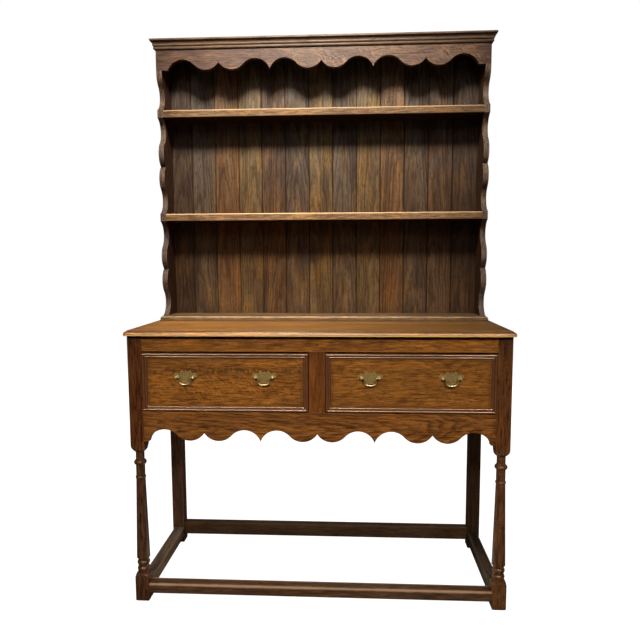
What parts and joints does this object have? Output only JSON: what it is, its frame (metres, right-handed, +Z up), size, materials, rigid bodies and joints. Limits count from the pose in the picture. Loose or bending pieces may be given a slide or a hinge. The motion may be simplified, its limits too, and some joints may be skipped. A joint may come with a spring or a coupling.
{
  "type": "welsh dresser",
  "caption": "Oak Welsh dresser: open plate rack with scalloped frieze and sides on a base with sliding drawers, turned front legs and a box stretcher.",
  "frame": {"origin": "on the floor under the middle of the top board", "axes": "+Z up, -Y towards the front of the drawers, +X to the right as seen from the front"},
  "size_m": [1.15, 0.454, 1.79],
  "materials": {
    "oak_frame": "waxed, satin",
    "oak_top": "waxed, satin",
    "oak_rack": "waxed, satin",
    "oak_back_board": "waxed, satin",
    "oak_drawer_front": "waxed, satin",
    "oak_moulding": "waxed, satin",
    "oak_lining": "waxed, satin",
    "brass": "aged, softly polished"
  },
  "bodies": {
    "carcass": {"apron": "oak_frame", "back_board_01": "oak_back_board", "back_board_02": "oak_back_board", "back_board_03": "oak_back_board", "back_board_04": "oak_back_board", "back_board_05": "oak_back_board", "back_board_06": "oak_back_board", "back_board_07": "oak_back_board", "back_board_08": "oak_back_board", "back_board_09": "oak_back_board", "back_board_10": "oak_back_board", "back_board_11": "oak_back_board", "back_board_12": "oak_back_board", "back_board_13": "oak_back_board", "back_leg_left": "oak_frame", "back_leg_right": "oak_frame", "back_stretcher": "oak_frame", "base_back_board": "oak_lining", "centre_muntin": "oak_frame", "cornice_front": "oak_rack", "cornice_returns": "oak_rack", "drawer_kickers": "oak_lining", "drawer_runners": "oak_lining", "end_board_left": "oak_frame", "end_board_right": "oak_frame", "frieze_rail": "oak_frame", "front_leg_left": "oak_frame", "front_leg_right": "oak_frame", "front_stretcher": "oak_frame", "joint_pegs": "oak_frame", "lower_shelf": "oak_top", "plinth_board": "oak_top", "rack_frieze": "oak_rack", "rack_side_left": "oak_rack", "rack_side_right": "oak_rack", "rack_top_board": "oak_rack", "side_stretcher_left": "oak_frame", "side_stretcher_right": "oak_frame", "top_board": "oak_top", "upper_shelf": "oak_top"},
    "left_drawer": {"left_drawer_back": "oak_lining", "left_drawer_bottom": "oak_lining", "left_drawer_front": "oak_drawer_front", "left_drawer_handle_plates": "brass", "left_drawer_handle_posts": "brass", "left_drawer_moulding": "oak_moulding", "left_drawer_side_left": "oak_lining", "left_drawer_side_right": "oak_lining"},
    "left_drawer_bail_left": {"left_drawer_bail_left": "brass"},
    "left_drawer_bail_right": {"left_drawer_bail_right": "brass"},
    "right_drawer": {"right_drawer_back": "oak_lining", "right_drawer_bottom": "oak_lining", "right_drawer_front": "oak_drawer_front", "right_drawer_handle_plates": "brass", "right_drawer_handle_posts": "brass", "right_drawer_moulding": "oak_moulding", "right_drawer_side_left": "oak_lining", "right_drawer_side_right": "oak_lining"},
    "right_drawer_bail_left": {"right_drawer_bail_left": "brass"},
    "right_drawer_bail_right": {"right_drawer_bail_right": "brass"}
  },
  "joints": [
    {"name": "left_drawer_slide", "type": "slide", "parent": "carcass", "child": "left_drawer", "axis": [0, -1, 0], "range_m": [0, 0.3]},
    {"name": "left_drawer_bail_left_swing", "type": "hinge", "parent": "left_drawer", "child": "left_drawer_bail_left", "pos_m": [-0.39275, -0.2195, 0.711], "axis": [-1, 0, 0], "range_deg": [-18, 150]},
    {"name": "left_drawer_bail_right_swing", "type": "hinge", "parent": "left_drawer", "child": "left_drawer_bail_right", "pos_m": [-0.15675, -0.2195, 0.711], "axis": [-1, 0, 0], "range_deg": [-18, 150]},
    {"name": "right_drawer_slide", "type": "slide", "parent": "carcass", "child": "right_drawer", "axis": [0, -1, 0], "range_m": [0, 0.3]},
    {"name": "right_drawer_bail_left_swing", "type": "hinge", "parent": "right_drawer", "child": "right_drawer_bail_left", "pos_m": [0.15675, -0.2195, 0.711], "axis": [-1, 0, 0], "range_deg": [-18, 150]},
    {"name": "right_drawer_bail_right_swing", "type": "hinge", "parent": "right_drawer", "child": "right_drawer_bail_right", "pos_m": [0.39275, -0.2195, 0.711], "axis": [-1, 0, 0], "range_deg": [-18, 150]}
  ]
}
